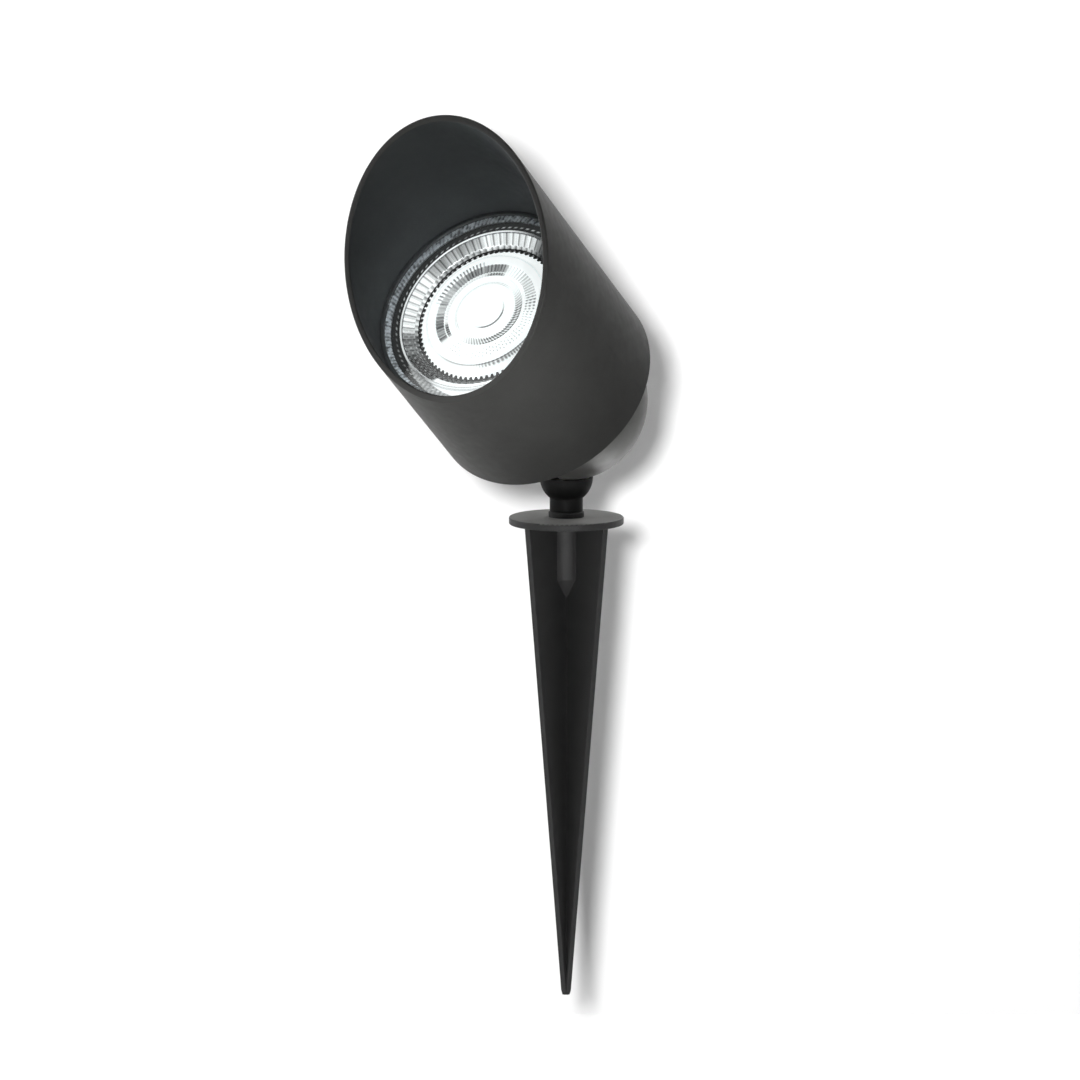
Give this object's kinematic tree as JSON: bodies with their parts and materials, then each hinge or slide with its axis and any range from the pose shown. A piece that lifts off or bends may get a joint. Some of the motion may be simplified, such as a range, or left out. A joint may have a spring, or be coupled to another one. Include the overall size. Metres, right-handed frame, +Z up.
{
  "type": "light projector stake",
  "caption": "Garden spotlight with an obliquely cut tubular hood on a slotted dome swivel, over a ribbed ground spike with a round flange.",
  "frame": {"origin": "centre of the spike's flange on its underside, which is ground level", "axes": "+Z up the stake; the head points along -Y and is tilted up; +X is across the head, its left side seen from behind it"},
  "size_m": [0.063, 0.1, 0.2474],
  "materials": {
    "spike_plastic": "moulded, matt black",
    "black_coated": "powder coated, matt black",
    "black_rubber": "soft matt",
    "liner_nylon": "natural nylon",
    "bright_steel": "zinc plated",
    "brass": "turned",
    "clear_glass": "clear",
    "polished_trim": "polished",
    "speckled_gasket": "rough, speckled grey",
    "lamp_body": "satin",
    "mirror_facets": "faceted mirror",
    "frosted_lens": "clear moulded optic",
    "board": "white solder mask",
    "led": "phosphor",
    "ceramic": "glazed steatite",
    "terminal_plastic": "natural",
    "lead_sleeve": "silicone sleeve",
    "gland_plastic": "moulded, matt black"
  },
  "bodies": {
    "spike": {"ground_spike": "spike_plastic", "threaded_insert": "brass", "stem_washer": "black_rubber"},
    "stem": {"swivel_stem": "black_coated", "friction_liner": "liner_nylon", "cap_washer": "bright_steel", "lock_washer": "bright_steel", "clamp_screw": "bright_steel"},
    "head": {"hood_tube": "black_coated", "rear_housing": "black_coated", "housing_seal": "black_rubber", "housing_screws": "bright_steel", "trim_ring": "polished_trim", "glass_gasket": "speckled_gasket", "front_glass": "clear_glass", "retaining_ring": "black_coated", "lamp_shell": "lamp_body", "lamp_facet_ring": "mirror_facets", "lamp_lens": "frosted_lens", "led_board": "board", "led_chip": "led", "lamp_base": "ceramic", "lamp_pins": "bright_steel", "lampholder": "ceramic", "holder_sleeves": "brass", "holder_strap": "bright_steel", "holder_screws": "bright_steel", "strap_screws": "bright_steel", "terminal_block": "terminal_plastic", "terminal_screws": "brass", "lamp_leads": "lead_sleeve", "cable_gland": "gland_plastic", "gland_seal": "black_rubber", "gland_cap": "gland_plastic", "gland_locknut": "gland_plastic"}
  },
  "joints": [
    {"name": "stem_turn", "type": "hinge", "parent": "spike", "child": "stem", "pos_m": [0, 0, 0.0036], "axis": [0, 0, 1], "range_deg": [-175, 175]},
    {"name": "head_tilt", "type": "hinge", "parent": "stem", "child": "head", "pos_m": [0, 0, 0.0342], "axis": [-1, 0, 0], "range_deg": [-25.3, 52.7]}
  ]
}
